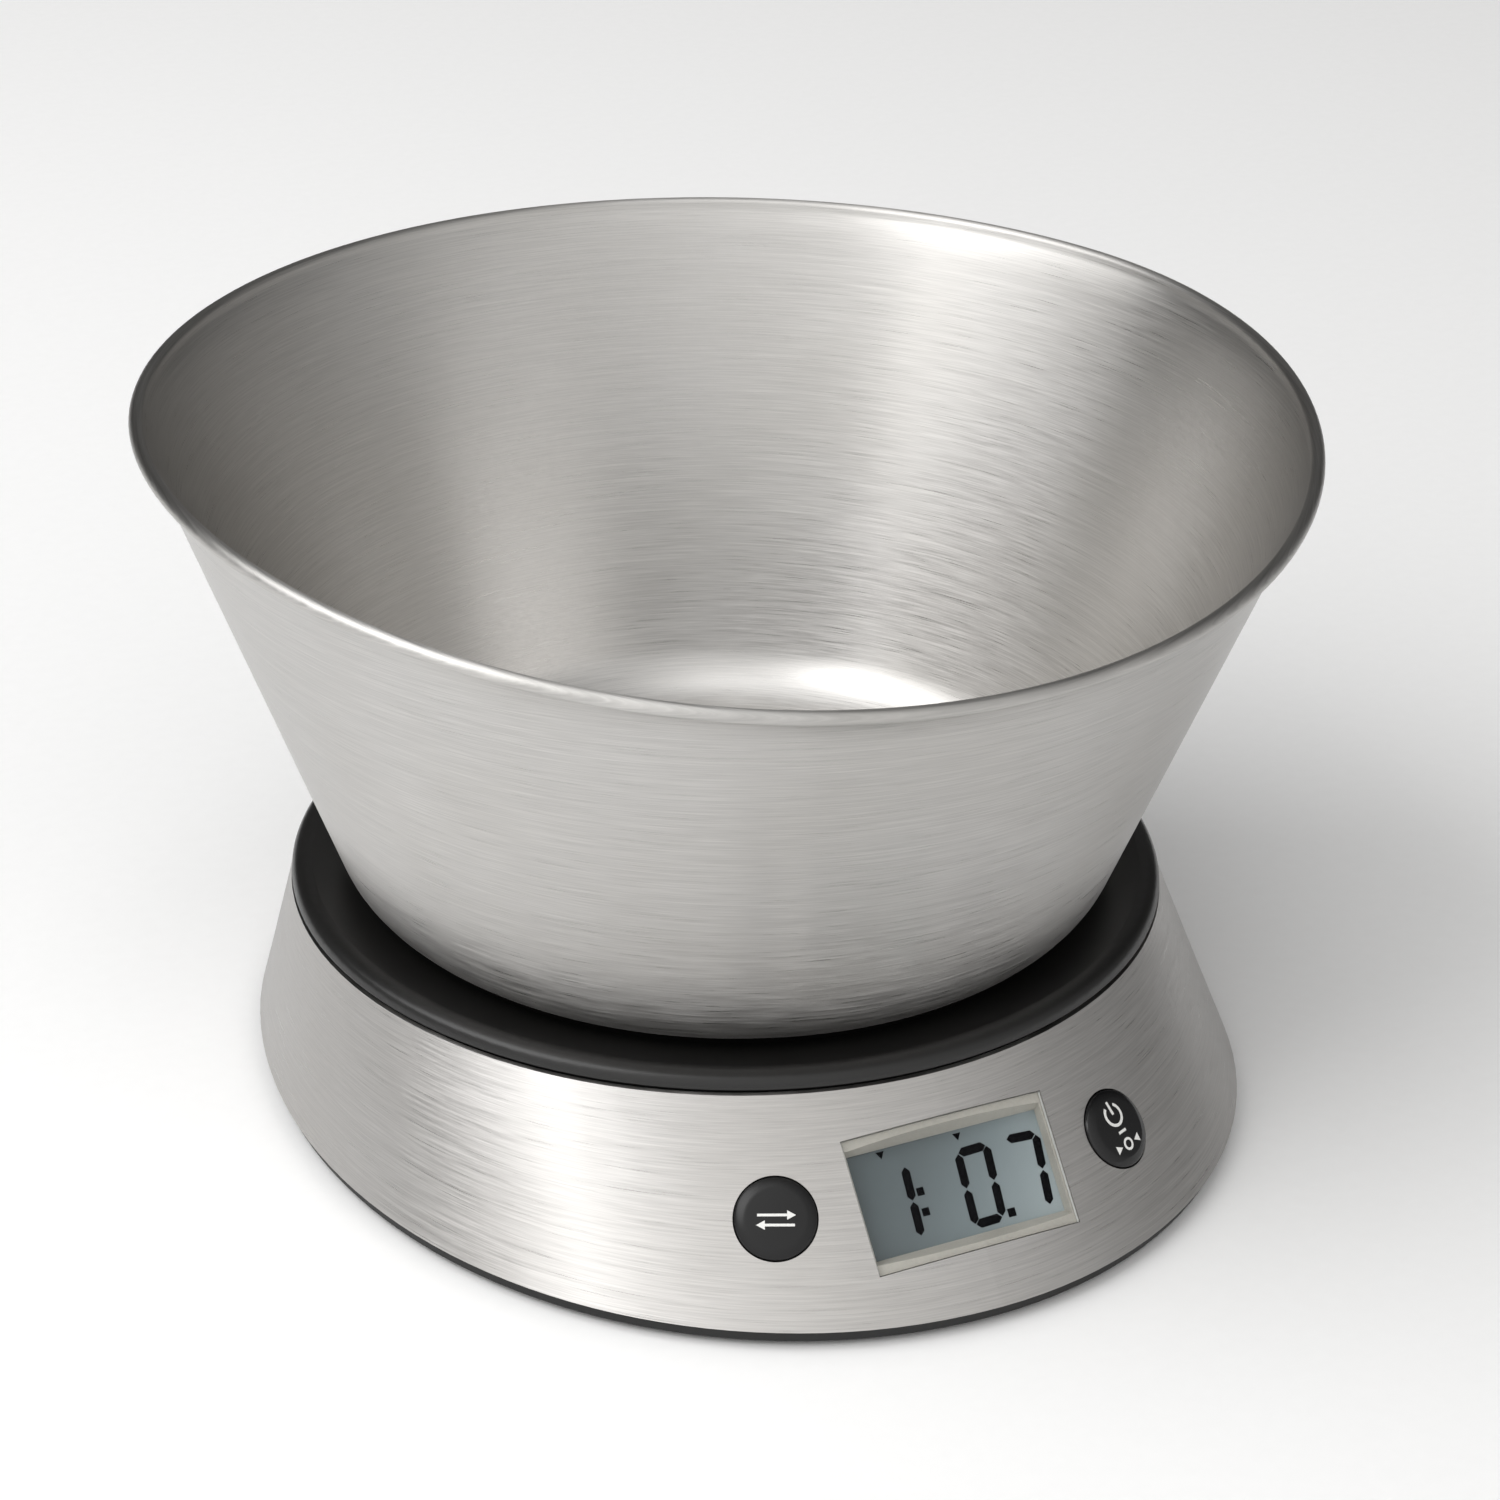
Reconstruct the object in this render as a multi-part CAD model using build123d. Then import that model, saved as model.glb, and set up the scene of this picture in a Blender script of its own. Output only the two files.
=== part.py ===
from build123d import *
import math
import os

os.makedirs("parts", exist_ok=True)

# Kitchen scale with a lift-off bowl. Millimetres, +Z up, the display faces -Y.
# The origin is on the supporting surface, under the weighing axis (the centre of the round platform).

# ---- steel housing: an egg-shaped lower edge, blended straight up to a round top ----
FRONT_REACH = 110.4          # weighing axis to the lower edge, towards the display
BACK_REACH = 96.7
SIDE_REACH = 90.3
STEEL_LOW = 3.8
STEEL_TOP = 34.6
TOP_RADIUS = 82.4
STEEL_WALL = 1.0             # measured level, so the sheet itself is about 0.75 thick
OUTLINE_POINTS = 24
MEAN_SHIFT = (FRONT_REACH - BACK_REACH) / 2
MEAN_OVAL = ((FRONT_REACH + BACK_REACH) / 2 - SIDE_REACH) / 2
MEAN_REACH = SIDE_REACH + MEAN_OVAL

# ---- plastic lower housing ----
FOOT_DROP = 1.0              # feet stand this far out of the base plate
FOOT_RADIUS = 6.0
FOOT_SEAT = 0.8
FOOT_SPOTS = [(-58, -62), (58, -62), (-58, 55), (58, 55)]
PLATE_TOP = 3.0
RIM_INSET = 1.1
RIM_TOP = 3.7
RIB_TOP = 5.3
RIB = 1.6
CASE_SCREW_ANGLES = [60, 120, 180, 240, 300]
CASE_BOSS_DEPTH = 6.0        # boss axis behind the steel wall at mid height

# ---- inner frame, under the steel ----
FRAME_GAP = 0.3
FRAME_WALL = 1.5
FRAME_LOW = 4.0
FRAME_TOP = 29.0
FRAME_OPENING = 72.0
BOSS_RADIUS = 4.0
BOSS_LOW = 5.1
PILOT_HOLE = 1.45
SCREW_DEPTH = 12.0
UPSTAND_INSET = 3.3          # the tray's upstand stands just inside the frame
UPSTAND_WALL = 1.6

# ---- weighing cell and its stack, from the base plate up ----
PAD_TOP = 7.0
SPACER = 2.0
CELL_LENGTH = 75.0
CELL_SIDE = 12.7
CELL_HOLES = [23.0, 33.0]    # from the middle, at each end
CELL_LOW = PAD_TOP + SPACER
CELL_TOP = CELL_LOW + CELL_SIDE
SUPPORT_LOW = CELL_TOP + SPACER
SUPPORT_TOP = SUPPORT_LOW + 2.0
SUPPORT_RADIUS = 62.0
TRAVEL = 0.8                 # the platform's drop before it meets the overload stops
STOP_SPOTS = [(-46, 0), (46, 0), (14, -46)]
M4_HEAD = 3.8
M4_SHANK = 1.95
M4_HOLE = 2.05

# ---- platform ----
SKIRT_RADIUS = 80.9          # the part that drops inside the steel
PLATFORM_LOW = 30.5
LIP_RADIUS = 82.3            # the rounded edge, which covers the steel's upper edge
LIP_LOW = 35.65
PLATFORM_PEAK = 38.2
CREST_RADIUS = 78.4          # where the sloping top turns over into the lip
RIB_RING_LOW = 28.5
SEAT_RADIUS = 66.0
SEAT = 34.8                  # the bowl stands at this height
PLATFORM_SKIN = 2.2
PLATFORM_SCREW_CIRCLE = 56.0

# ---- bowl: a plain cone whose rim dips towards the display ----
BOWL_FOOT_RADIUS = 70.3
BOWL_SPREAD = 0.372          # outward run for each millimetre of height
BOWL_CORNER = 14.3
BOWL_SHEET = 0.75
RIM_HEIGHT = 128.7
RIM_DIP = 12.8
DIP_START = 40.0             # the rim is level behind this Y
BEAD_RADIUS = 1.3
BEAD_OFFSET = 0.85

# ---- display, on its own plane in the middle of the sloping front ----
FACE_HEIGHT = 18.8
WINDOW = (19.7, -9.9, 14.0)          # half width, lower and upper edge, along the slope
GLASS_VIEW = (19.1, -7.1, 11.3)
GLASS_SIZE = (20.3, -8.85, 12.85)
GLASS_DEPTH = 5.0
GLASS_LAYER = 1.1
BOARD_SIZE = (23.6, -10.2, 14.6)
BOARD_DEPTH = 9.6
BOARD = 1.5
BOARD_SCREWS = [(-22.0, -6.5), (22.0, -6.5), (-22.0, 11.0), (22.0, 11.0)]
LENS_GAP = 0.15

# ---- buttons ----
BUTTON_ANGLE = 20.5          # each side of the display
BUTTON_HEIGHT = 18.5
BUTTON_RADIUS = 7.1
BUTTON_CLEARANCE = 0.25
BUTTON_PROUD = 1.2
BUTTON_FLANGE = 8.6
FLANGE_TOP = -2.9
FLANGE_LOW = -3.9
KEY_BOARD_TOP = -8.6
SWITCH_TOP = -5.5
STEM_RADIUS = 1.6
KEY_POST = 10.5              # key board posts, outside the button's flange

# ---- battery bay: two AAA cells, lying across ----
CELL_RADIUS = 5.2
CELL_BODY = 43.7
CELL_NUB = (1.9, 0.8)
BAY = (26.0, 21.0, 45.0)             # half length, front and rear wall
BAY_TOP = 14.4
BAY_WALL = 1.5
BATTERY_ROWS = [27.2, 38.8]
BATTERY_HEIGHT = 8.6
DOOR = (28.7, 18.3, 47.7)
DOOR_GAP = 0.3
DOOR_THICK = 1.6
DOOR_PIN = 0.6
PIN_GAP = 0.08
WIRE_LEVEL = 6.4             # wires run this high over the base plate
HINGE_Y = DOOR[2] - DOOR_THICK / 2
HINGE_Z = FOOT_DROP + DOOR_THICK / 2


def wall_radius(angle, z):
    """Outer face of the steel wall; angle in degrees, from the display direction."""
    swing = math.radians(angle)
    egg = MEAN_REACH + MEAN_SHIFT * math.cos(swing) + MEAN_OVAL * math.cos(2 * swing)
    rise = (z - STEEL_LOW) / (STEEL_TOP - STEEL_LOW)
    return egg * (1 - rise) + TOP_RADIUS * rise


def wall_point(angle, z, inset=0.0):
    swing = math.radians(angle)
    reach = wall_radius(angle, z) - inset
    return Vector(reach * math.sin(swing), -reach * math.cos(swing), z)


def wall_section(z, inset):
    steps = [i * 360 / OUTLINE_POINTS for i in range(OUTLINE_POINTS)]
    return make_face(Spline(*[wall_point(angle, z, inset) for angle in steps], periodic=True))


def wall_body(z_low, z_high, inset):
    """Solid space inside the steel wall's outer face, or inset from it."""
    return loft([wall_section(z_low, inset), wall_section(z_high, inset)], ruled=True)


def wall_plane(angle, z):
    """Plane touching the wall: local Y runs up the slope, local Z out of the housing."""
    step = 0.05
    along = wall_point(angle + step, z) - wall_point(angle - step, z)
    upward = wall_point(angle, z + step) - wall_point(angle, z - step)
    outward = along.cross(upward).normalized()
    level = Vector(0, 0, 1).cross(outward)
    return Plane(origin=wall_point(angle, z), x_dir=level, z_dir=outward)


FACE = wall_plane(0, FACE_HEIGHT)
BUTTON_PLANES = {"unit": wall_plane(-BUTTON_ANGLE, BUTTON_HEIGHT), "tare": wall_plane(BUTTON_ANGLE, BUTTON_HEIGHT)}
OUTER_SIDE = {"unit": -1, "tare": 1}
CASE_SPOTS = [wall_point(angle, 24, CASE_BOSS_DEPTH) for angle in CASE_SCREW_ANGLES]


def rod(plane, x, y, radius, low, high):
    """Cylinder along a plane's normal, between two heights over it."""
    return plane * Pos(x, y, (low + high) / 2) * Cylinder(radius, high - low)


def slab(plane, half_width, low_edge, high_edge, low, high):
    """Block over a plane, from one height to another."""
    centre = Pos(0, (low_edge + high_edge) / 2, (low + high) / 2)
    return plane * centre * Box(2 * half_width, high_edge - low_edge, high - low)


def upright(x, y, radius, low, high):
    return rod(Plane.XY, x, y, radius, low, high)


def block(x_low, x_high, y_low, y_high, z_low, z_high):
    centre = Pos((x_low + x_high) / 2, (y_low + y_high) / 2, (z_low + z_high) / 2)
    return centre * Box(x_high - x_low, y_high - y_low, z_high - z_low)


def screw(head_radius, head_height, shank_radius, length):
    """Pan-head screw, head down, shank up, with a cross recess."""
    head = Pos(0, 0, -head_height / 2) * Cylinder(head_radius, head_height)
    head = fillet(head.edges().sort_by(Axis.Z)[0], head_height * 0.35)
    shank = Pos(0, 0, length / 2) * Cylinder(shank_radius, length)
    shank = chamfer(shank.edges().sort_by(Axis.Z)[-1], shank_radius * 0.4)
    slot = Box(head_radius * 1.1, head_radius * 0.25, head_height)
    recess = Pos(0, 0, -head_height) * (slot + Rot(0, 0, 90) * slot)
    return head + shank - recess


# ---------------------------------------------------------------- housing

def housing_shell():
    """Brushed steel sheet, open above and below, with the window and two button holes."""
    shell = wall_body(STEEL_LOW, STEEL_TOP, 0) - wall_body(STEEL_LOW - 1, STEEL_TOP + 1, STEEL_WALL)
    shell -= slab(FACE, *WINDOW, -8, 4)
    for plane in BUTTON_PLANES.values():
        shell -= rod(plane, 0, 0, BUTTON_RADIUS + BUTTON_CLEARANCE, -6, 4)
    return shell


def key_post_spots(name):
    """On the outer side of the button and above it, clear of the main board."""
    side = OUTER_SIDE[name]
    return [(side * KEY_POST, 0), (side * KEY_POST / 2, KEY_POST * math.sin(math.radians(60)))]


def inner_frame():
    """Plastic liner that carries the steel, with its screw bosses and key board posts."""
    inset = STEEL_WALL + FRAME_GAP
    inside = wall_body(FRAME_LOW, FRAME_TOP, inset)
    frame = inside - wall_body(FRAME_LOW - 1, FRAME_TOP - FRAME_WALL, inset + FRAME_WALL)
    frame -= upright(0, 0, FRAME_OPENING, FRAME_TOP - 5, FRAME_TOP + 1)
    for spot in CASE_SPOTS:
        frame += upright(spot.X, spot.Y, BOSS_RADIUS, BOSS_LOW, FRAME_TOP - FRAME_WALL) & inside
    for name, plane in BUTTON_PLANES.items():
        for x, y in key_post_spots(name):
            frame += rod(plane, x, y, 1.6, KEY_BOARD_TOP, -1.5) & inside
            frame -= rod(plane, x, y, 0.8, KEY_BOARD_TOP, KEY_BOARD_TOP + 4)
        frame -= rod(plane, 0, 0, BUTTON_RADIUS + BUTTON_CLEARANCE, -5, 4)
        frame -= rod(plane, 0, 0, BUTTON_FLANGE + 0.3, -6, FLANGE_TOP + 0.3)
    frame -= slab(FACE, 24.4, -11.2, 16.0, -13, 4)
    for spot in CASE_SPOTS:
        frame -= upright(spot.X, spot.Y, PILOT_HOLE, BOSS_LOW, BOSS_LOW + SCREW_DEPTH)
    return frame


def tray_plate():
    outline = Pos(0, 0, FOOT_DROP - STEEL_LOW) * wall_section(STEEL_LOW, RIM_INSET)
    plate = extrude(outline, RIM_TOP - FOOT_DROP)
    plate = chamfer(plate.edges().group_by(Axis.Z)[0], 0.4)
    hollow = Pos(0, 0, PLATE_TOP - STEEL_LOW) * wall_section(STEEL_LOW, RIM_INSET + 3.5)
    return plate - extrude(hollow, 5)


def tray_ribs():
    """Upstand inside the frame, a ring rib and radial ribs."""
    inner = Pos(0, 0, PLATE_TOP - STEEL_LOW)
    upstand = extrude(inner * wall_section(STEEL_LOW, UPSTAND_INSET), 4.5)
    upstand -= extrude(inner * wall_section(STEEL_LOW, UPSTAND_INSET + UPSTAND_WALL), 9)
    ribs = upstand + upright(0, 0, 68, PLATE_TOP, RIB_TOP) - upright(0, 0, 68 - RIB, PLATE_TOP, RIB_TOP + 1)
    spoke = block(10, 88, -RIB / 2, RIB / 2, PLATE_TOP - 0.5, RIB_TOP)
    for i in range(8):
        ribs += Rot(0, 0, 22.5 + 45 * i) * spoke
    return ribs & upright(0, 0, 200, PLATE_TOP - 0.5, 9) & wall_body(STEEL_LOW - 3, STEEL_TOP, UPSTAND_INSET)


def battery_bay():
    half, front, rear = BAY
    low = PLATE_TOP - 0.5
    walls = block(-half - BAY_WALL, half + BAY_WALL, front - BAY_WALL, rear + BAY_WALL, low, BAY_TOP + BAY_WALL)
    pad = block(-DOOR[0] - 2.5, DOOR[0] + 2.5, DOOR[1] - 2.5, DOOR[2] + 2.5, low, PLATE_TOP + 1.2)
    return walls + pad


def battery_space():
    """What is cut away for the cells, the door and its hinge pins."""
    half, front, rear = BAY
    space = block(-half, half, front, rear, 0, BAY_TOP)
    gap = DOOR_GAP
    space += block(-DOOR[0] - gap, DOOR[0] + gap, DOOR[1] - gap, DOOR[2] + gap, 0, FOOT_DROP + DOOR_THICK + 0.1)
    pins = Pos(0, HINGE_Y, HINGE_Z) * Rot(0, 90, 0) * Cylinder(DOOR_PIN + PIN_GAP, 2 * (DOOR[0] + 1.8))
    notch = Pos(0, DOOR[1] - 2.2, FOOT_DROP) * Rot(0, 90, 0) * Cylinder(1.3, 16)
    return space + pins + notch


def base_tray():
    tray = tray_plate() + tray_ribs() + battery_bay()
    tray += block(-41, -15, -10, 10, PLATE_TOP - 0.5, PAD_TOP)
    for x, y in STOP_SPOTS:
        tray += upright(x, y, 3, PLATE_TOP - 0.5, SUPPORT_LOW - TRAVEL - 0.1)
    for spot in CASE_SPOTS:
        tray += upright(spot.X, spot.Y, 5, PLATE_TOP - 0.5, BOSS_LOW - 0.1)
        tray -= upright(spot.X, spot.Y, 3.5, 0, 3.4)
        tray -= upright(spot.X, spot.Y, 1.7, 0, 9)
    for x in CELL_HOLES:
        tray -= upright(-x, 0, 4.2, 0, 4.0)
        tray -= upright(-x, 0, 2.2, 0, 9)
    for x, y in FOOT_SPOTS:
        tray -= upright(x, y, FOOT_RADIUS + 0.2, 0, FOOT_DROP + FOOT_SEAT)
    return tray - battery_space()


def rubber_feet():
    foot = Pos(0, 0, (FOOT_DROP + FOOT_SEAT) / 2) * Cylinder(FOOT_RADIUS, FOOT_DROP + FOOT_SEAT)
    foot = fillet(foot.edges().sort_by(Axis.Z)[0], 0.5)
    return [Pos(x, y, 0) * foot for x, y in FOOT_SPOTS]


def case_screws():
    return [Pos(spot.X, spot.Y, 3.4) * screw(3.0, 1.9, 1.4, SCREW_DEPTH) for spot in CASE_SPOTS]


# ---------------------------------------------------------------- weighing cell

def load_cell():
    """Aluminium bar, thinned by two joined bores, threaded at both ends."""
    middle = (CELL_LOW + CELL_TOP) / 2
    bar = Pos(0, 0, middle) * Box(CELL_LENGTH, CELL_SIDE, CELL_SIDE)
    bar = chamfer(bar.edges().filter_by(Axis.X), 0.4)
    for x in (-8, 8):
        bar -= Pos(x, 0, middle) * Rot(90, 0, 0) * Cylinder(5.0, CELL_SIDE + 1)
    bar -= Pos(0, 0, middle) * Box(16, CELL_SIDE + 1, 3)
    for x in CELL_HOLES:
        bar -= upright(-x, 0, M4_HOLE, CELL_LOW, CELL_LOW + 8.5)
        bar -= upright(x, 0, M4_HOLE, CELL_TOP - 8.5, CELL_TOP)
    return bar


def gauge_potting():
    """Soft silicone over the strain gauges, above and below the thinned part."""
    pads = []
    for z in (CELL_TOP + 0.4, CELL_LOW - 0.4):
        pad = Pos(0, 0, z) * Box(26, 9, 0.8)
        pads.append(fillet(pad.edges().filter_by(Axis.Z), 2))
    return pads


def cell_spacer(side, z_low):
    spacer = block(-10, 10, -CELL_SIDE / 2, CELL_SIDE / 2, z_low, z_low + SPACER)
    spacer = Pos(side * sum(CELL_HOLES) / 2, 0, 0) * fillet(spacer.edges().filter_by(Axis.Z), 1.5)
    for x in CELL_HOLES:
        spacer -= upright(side * x, 0, 2.2, z_low - 1, z_low + SPACER + 1)
    return spacer


def lower_cell_screws():
    return [Pos(-x, 0, 4.0) * screw(M4_HEAD, 2.2, M4_SHANK, 13) for x in CELL_HOLES]


def upper_cell_screws():
    return [Pos(x, 0, SUPPORT_TOP) * Rot(180, 0, 0) * screw(M4_HEAD, 2.2, M4_SHANK, 12) for x in CELL_HOLES]


# ---------------------------------------------------------------- platform

def platform_screw_spots():
    turns = [math.radians(45 + 90 * i) for i in range(4)]
    return [(PLATFORM_SCREW_CIRCLE * math.cos(t), PLATFORM_SCREW_CIRCLE * math.sin(t)) for t in turns]


def platform():
    """Dished disc with a rounded edge, stiffened underneath, on four bosses."""
    under = SEAT - PLATFORM_SKIN
    inner = SKIRT_RADIUS - 2.0
    top = Polyline((0, under), (0, SEAT), (SEAT_RADIUS, SEAT), (CREST_RADIUS, PLATFORM_PEAK - 0.15))
    lip = Bezier(top @ 1, (81.0, PLATFORM_PEAK + 0.45), (LIP_RADIUS, 37.6), (LIP_RADIUS, LIP_LOW))
    skirt = Polyline(lip @ 1, (SKIRT_RADIUS, LIP_LOW), (SKIRT_RADIUS, PLATFORM_LOW), (inner, PLATFORM_LOW),
                     (inner, PLATFORM_PEAK - 3.4), (SEAT_RADIUS, under), (0, under))
    disc = revolve(make_face(Plane.XZ * (top + lip + skirt)), Axis.Z)
    rib_low, rib_high = RIB_RING_LOW, under + 0.5
    ring = PLATFORM_SCREW_CIRCLE
    disc += upright(0, 0, ring + RIB / 2, rib_low, rib_high) - upright(0, 0, ring - RIB / 2, rib_low, rib_high)
    for i in range(8):
        disc += Rot(0, 0, 22.5 + 45 * i) * block(20, 70, -RIB / 2, RIB / 2, rib_low, rib_high)
    for x, y in platform_screw_spots():
        disc += upright(x, y, 4, SUPPORT_TOP, rib_high)
        disc -= upright(x, y, 1.3, SUPPORT_TOP, SUPPORT_TOP + 6)
    return disc


def platform_support():
    """Pressed steel plate between the weighing cell and the platform."""
    plate = upright(0, 0, SUPPORT_RADIUS, SUPPORT_LOW, SUPPORT_TOP)
    low, high = SUPPORT_LOW - 1, SUPPORT_TOP + 1
    for x, y, radius in [(0, 36, 11), (0, -34, 9), (-26, 0, 11)]:
        plate -= upright(x, y, radius, low, high)
    for i in range(4):
        turn = math.radians(45 + 90 * i)
        plate -= upright(34 * math.cos(turn), 34 * math.sin(turn), 7, low, high)
    for x in CELL_HOLES:
        plate -= upright(x, 0, 2.2, low, high)
    for x, y in platform_screw_spots():
        plate -= upright(x, y, 1.6, low, high)
    return fillet(plate.edges().group_by(Axis.Z)[-1].sort_by(SortBy.LENGTH)[-1], 0.5)


def platform_screws():
    return [Pos(x, y, SUPPORT_LOW) * screw(2.8, 1.7, 1.25, 7) for x, y in platform_screw_spots()]


# ---------------------------------------------------------------- bowl

def bowl_radius(z):
    return BOWL_FOOT_RADIUS + (z - SEAT) * BOWL_SPREAD


def rim_arc_radius():
    run = DIP_START + bowl_radius(RIM_HEIGHT - RIM_DIP)
    return (run ** 2 + RIM_DIP ** 2) / (2 * RIM_DIP)


def rim_height(y):
    """Level at the back, falling along one large arc towards the display."""
    if y >= DIP_START:
        return RIM_HEIGHT
    arc = rim_arc_radius()
    return RIM_HEIGHT - arc + math.sqrt(arc ** 2 - (y - DIP_START) ** 2)


def rim_point(angle):
    """Point of the bead's centre line; angle in degrees from the display direction."""
    swing = math.radians(angle)
    z = RIM_HEIGHT
    for _ in range(12):
        z = rim_height(-bowl_radius(z) * math.cos(swing))
    reach = bowl_radius(z) + BEAD_OFFSET
    return Vector(reach * math.sin(swing), -reach * math.cos(swing), z)


def bowl_cone(inset):
    """Solid cone with a rounded foot; inset moves its wall and floor inwards."""
    lean = math.sqrt(1 + BOWL_SPREAD ** 2)
    floor = SEAT + inset
    foot = bowl_radius(floor) - inset * lean
    top = RIM_HEIGHT + 6
    points = [(0, floor), (foot, floor), (bowl_radius(top) - inset * lean, top), (0, top)]
    profile = make_face(Plane.XZ * Polyline(*points, close=True))
    corner = profile.vertices().sort_by_distance(Vector(foot, 0, floor))[0]
    return revolve(fillet(corner, BOWL_CORNER - inset), Axis.Z)


def bowl():
    far = 140
    above = RIM_HEIGHT + 30
    middle = (DIP_START - far) / 2
    edge = ThreePointArc((-far, rim_height(-far)), (middle, rim_height(middle)), (DIP_START, RIM_HEIGHT))
    outline = edge + Polyline((DIP_START, RIM_HEIGHT), (far, RIM_HEIGHT), (far, above), (-far, above), edge @ 0)
    cutter = extrude(make_face(Plane.YZ * outline), far, both=True)
    shell = bowl_cone(0) - bowl_cone(BOWL_SHEET) - cutter
    stations = [rim_point(10 * i) for i in range(19)]
    path = Spline(*stations, tangents=[(1, 0, 0), (-1, 0, 0)], tangent_scalars=[1, 1])
    section = Plane(origin=path @ 0, z_dir=path % 0) * Circle(BEAD_RADIUS)
    half_bead = sweep(section, path=path)
    return shell + half_bead + mirror(half_bead, Plane.YZ)


# ---------------------------------------------------------------- display

def lens_slab(low, high):
    half, lower, upper = WINDOW
    return slab(FACE, half - LENS_GAP, lower + LENS_GAP, upper - LENS_GAP, low, high)


def display_lens():
    """Clear plate that fills the window and carries on the curve of the steel."""
    low, high = STEEL_LOW - 2, STEEL_TOP + 1
    layer = wall_body(low, high, 0.1) - wall_body(low - 1, high + 1, 1.1)
    return layer & lens_slab(-8, 4)


def rectangle_at(half, lower, upper, height):
    return FACE * Pos(0, (lower + upper) / 2, height) * Rectangle(2 * half, upper - lower)


def display_bezel():
    """Pale frame behind the lens: sloped walls down to the glass, a pocket and board posts."""
    half, lower, upper = WINDOW
    bezel = lens_slab(-GLASS_DEPTH, 4) + slab(FACE, BOARD_SIZE[0], -10.4, 15.2, -6.6, -4.6)
    for x, y in BOARD_SCREWS:
        bezel += rod(FACE, x, y, 1.5, -BOARD_DEPTH, -4.6)
    bezel &= wall_body(STEEL_LOW - 2, STEEL_TOP + 1, STEEL_WALL + 0.2)
    view = rectangle_at(*GLASS_VIEW, -4.6)
    mouth = rectangle_at(half - 0.5, lower + 0.5, upper - 0.5, 1.0)
    bezel -= loft([view, mouth], ruled=True)
    bezel -= slab(FACE, *GLASS_VIEW, -9, -4.5)
    bezel -= slab(FACE, GLASS_SIZE[0] + 0.1, GLASS_SIZE[1] - 0.1, GLASS_SIZE[2] + 0.1, -9, -GLASS_DEPTH)
    for x, y in BOARD_SCREWS:
        bezel -= rod(FACE, x, y, 0.8, -BOARD_DEPTH, -6)
    return bezel


def display_front_glass():
    return slab(FACE, *GLASS_SIZE, -GLASS_DEPTH - GLASS_LAYER, -GLASS_DEPTH - 0.02)


def display_rear_glass():
    half, lower, upper = GLASS_SIZE
    return slab(FACE, half, lower + 2.2, upper, -GLASS_DEPTH - 2 * GLASS_LAYER, -GLASS_DEPTH - GLASS_LAYER)


def display_reflector():
    low = -GLASS_DEPTH - 2 * GLASS_LAYER - 0.25
    return slab(FACE, 19.8, -6.4, 12.6, low, low + 0.25)


def contact_strip():
    """Striped rubber that joins the glass to the board."""
    return slab(FACE, 18.5, -8.7, -7.1, -BOARD_DEPTH, -GLASS_DEPTH - GLASS_LAYER)


def main_board():
    board = slab(FACE, *BOARD_SIZE, -BOARD_DEPTH - BOARD, -BOARD_DEPTH)
    for x, y in BOARD_SCREWS:
        board -= rod(FACE, x, y, 0.95, -BOARD_DEPTH - 3, -BOARD_DEPTH + 1)
    return board


def processor_cover():
    """Resin dome over the chip, on the back of the board."""
    back = -BOARD_DEPTH - BOARD
    dome = rod(Plane.XY, 0, 0, 4.5, 0, 1.6)
    dome = fillet(dome.edges().sort_by(Axis.Z)[-1], 1.4)
    return FACE * Pos(3, 6.5, back) * Rot(180, 0, 0) * dome


def board_components():
    """Chip capacitors, a crystal can and one electrolytic capacitor."""
    back = -BOARD_DEPTH - BOARD
    pieces = []
    for x, y in [(-12, 8), (-12, 5.5), (-12, 3), (9, 8.5), (11.5, 8.5)]:
        pieces.append(FACE * Pos(x, y, back - 0.5) * Box(1.6, 1.0, 1.0))
    pieces.append(fillet((FACE * Pos(10, 3, back - 1.4) * Box(3.6, 9, 2.8)).edges().group_by(Axis.X)[-1], 0.5))
    pieces.append(rod(FACE, -12, -3, 2.5, back - 5, back))
    return pieces


def board_screws():
    screws = []
    for x, y in BOARD_SCREWS:
        screws.append(FACE * Pos(x, y, -BOARD_DEPTH - BOARD) * screw(1.5, 1.0, 0.75, 4))
    for name, plane in BUTTON_PLANES.items():
        for x, y in key_post_spots(name):
            screws.append(plane * Pos(x, y, KEY_BOARD_TOP - 1.2) * screw(1.5, 1.0, 0.75, 4.5))
    return screws


# ---------------------------------------------------------------- buttons

def button(name):
    """Domed cap on a flange that the frame holds in, with a push boss underneath."""
    cap = rod(Plane.XY, 0, 0, BUTTON_RADIUS, FLANGE_TOP, BUTTON_PROUD)
    cap = fillet(cap.edges().sort_by(Axis.Z)[-1], 0.9)
    cap &= Pos(0, 0, BUTTON_PROUD - 60) * Sphere(60)
    cap += rod(Plane.XY, 0, 0, BUTTON_FLANGE, FLANGE_LOW, FLANGE_TOP)
    cap -= rod(Plane.XY, 0, 0, 5.6, FLANGE_LOW, -0.4)
    cap += rod(Plane.XY, 0, 0, 1.5, FLANGE_LOW - 0.1, 0)
    return BUTTON_PLANES[name] * cap


def switch_stem(name):
    stem = rod(Plane.XY, 0, 0, STEM_RADIUS, -6.3, FLANGE_LOW - 0.15)
    return BUTTON_PLANES[name] * fillet(stem.edges().sort_by(Axis.Z)[-1], 0.3)


def key_boards():
    """Two small boards that hold the key switches square to their buttons."""
    boards = []
    low, high = KEY_BOARD_TOP - 1.2, KEY_BOARD_TOP
    for name, plane in BUTTON_PLANES.items():
        centre = Pos(OUTER_SIDE[name] * 4.5, 3.4, (low + high) / 2)
        board = plane * centre * Box(16, 15.8, high - low)
        for x, y in key_post_spots(name):
            board -= rod(plane, x, y, 0.95, low - 1, high + 1)
        boards.append(board)
    return boards


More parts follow.
